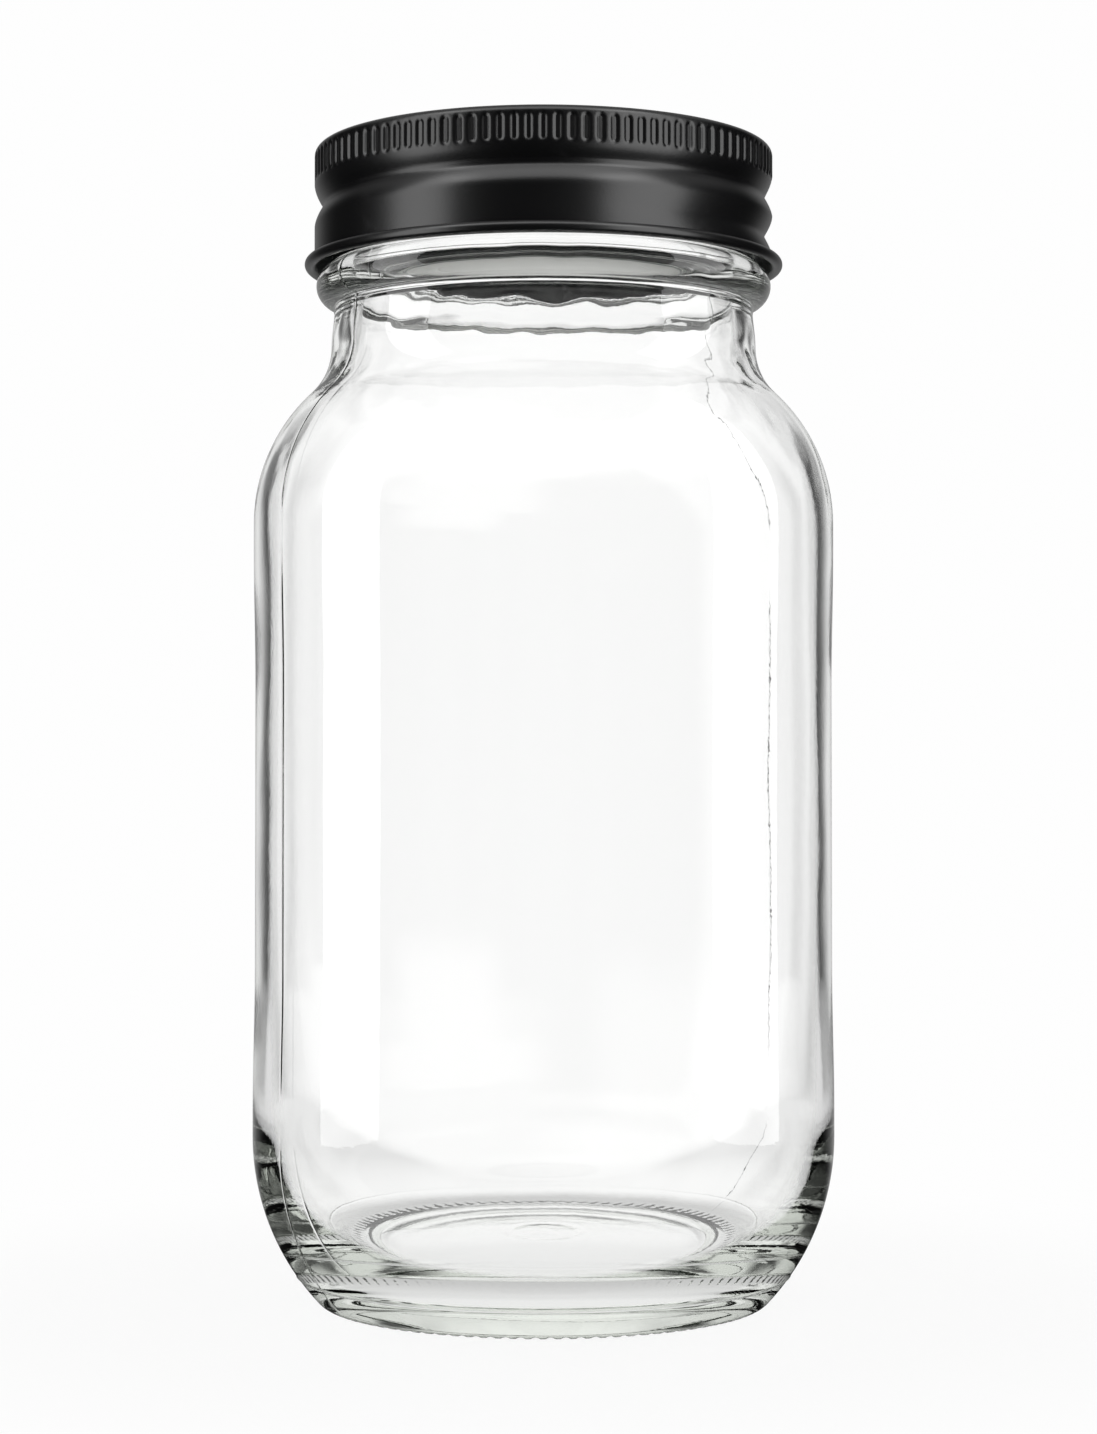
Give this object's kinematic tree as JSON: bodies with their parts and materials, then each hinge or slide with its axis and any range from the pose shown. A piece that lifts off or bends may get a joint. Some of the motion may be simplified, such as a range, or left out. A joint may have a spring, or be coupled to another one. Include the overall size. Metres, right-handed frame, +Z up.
{
  "type": "mason jar",
  "caption": "Clear glass quart canning jar with a screw-thread finish, a flat metal lid with a sealing ring, and a black knurled screw band that unscrews and lifts the lid.",
  "frame": {"origin": "middle of the base, on the surface the jar stands on", "axes": "+Z up along the jar's axis; the band unscrews anticlockwise about +Z; -Y is the front"},
  "size_m": [0.091, 0.091, 0.1811],
  "materials": {
    "clear_glass": "clear moulded soda-lime glass",
    "lid_lacquer": "satin black lacquer on tinplate",
    "sealing_compound": "matte plastisol",
    "band_lacquer": "satin black lacquer on tinplate"
  },
  "bodies": {
    "jar": {"jar": "clear_glass"},
    "lid": {"lid_disc": "lid_lacquer", "sealing_compound": "sealing_compound"},
    "screw_band": {"screw_band": "band_lacquer"}
  },
  "joints": [
    {"name": "lid_lift", "type": "slide", "parent": "jar", "child": "lid", "axis": [0, 0, 1], "range_m": [0, 0.0191]},
    {"name": "band_turn", "type": "hinge", "parent": "lid", "child": "screw_band", "pos_m": [0, 0, 0.17], "axis": [0, 0, 1], "range_deg": [0, 1080]}
  ],
  "couplings": [
    {"joint": "lid_lift", "follows": "band_turn", "m_per_rad": 0.0010106}
  ]
}
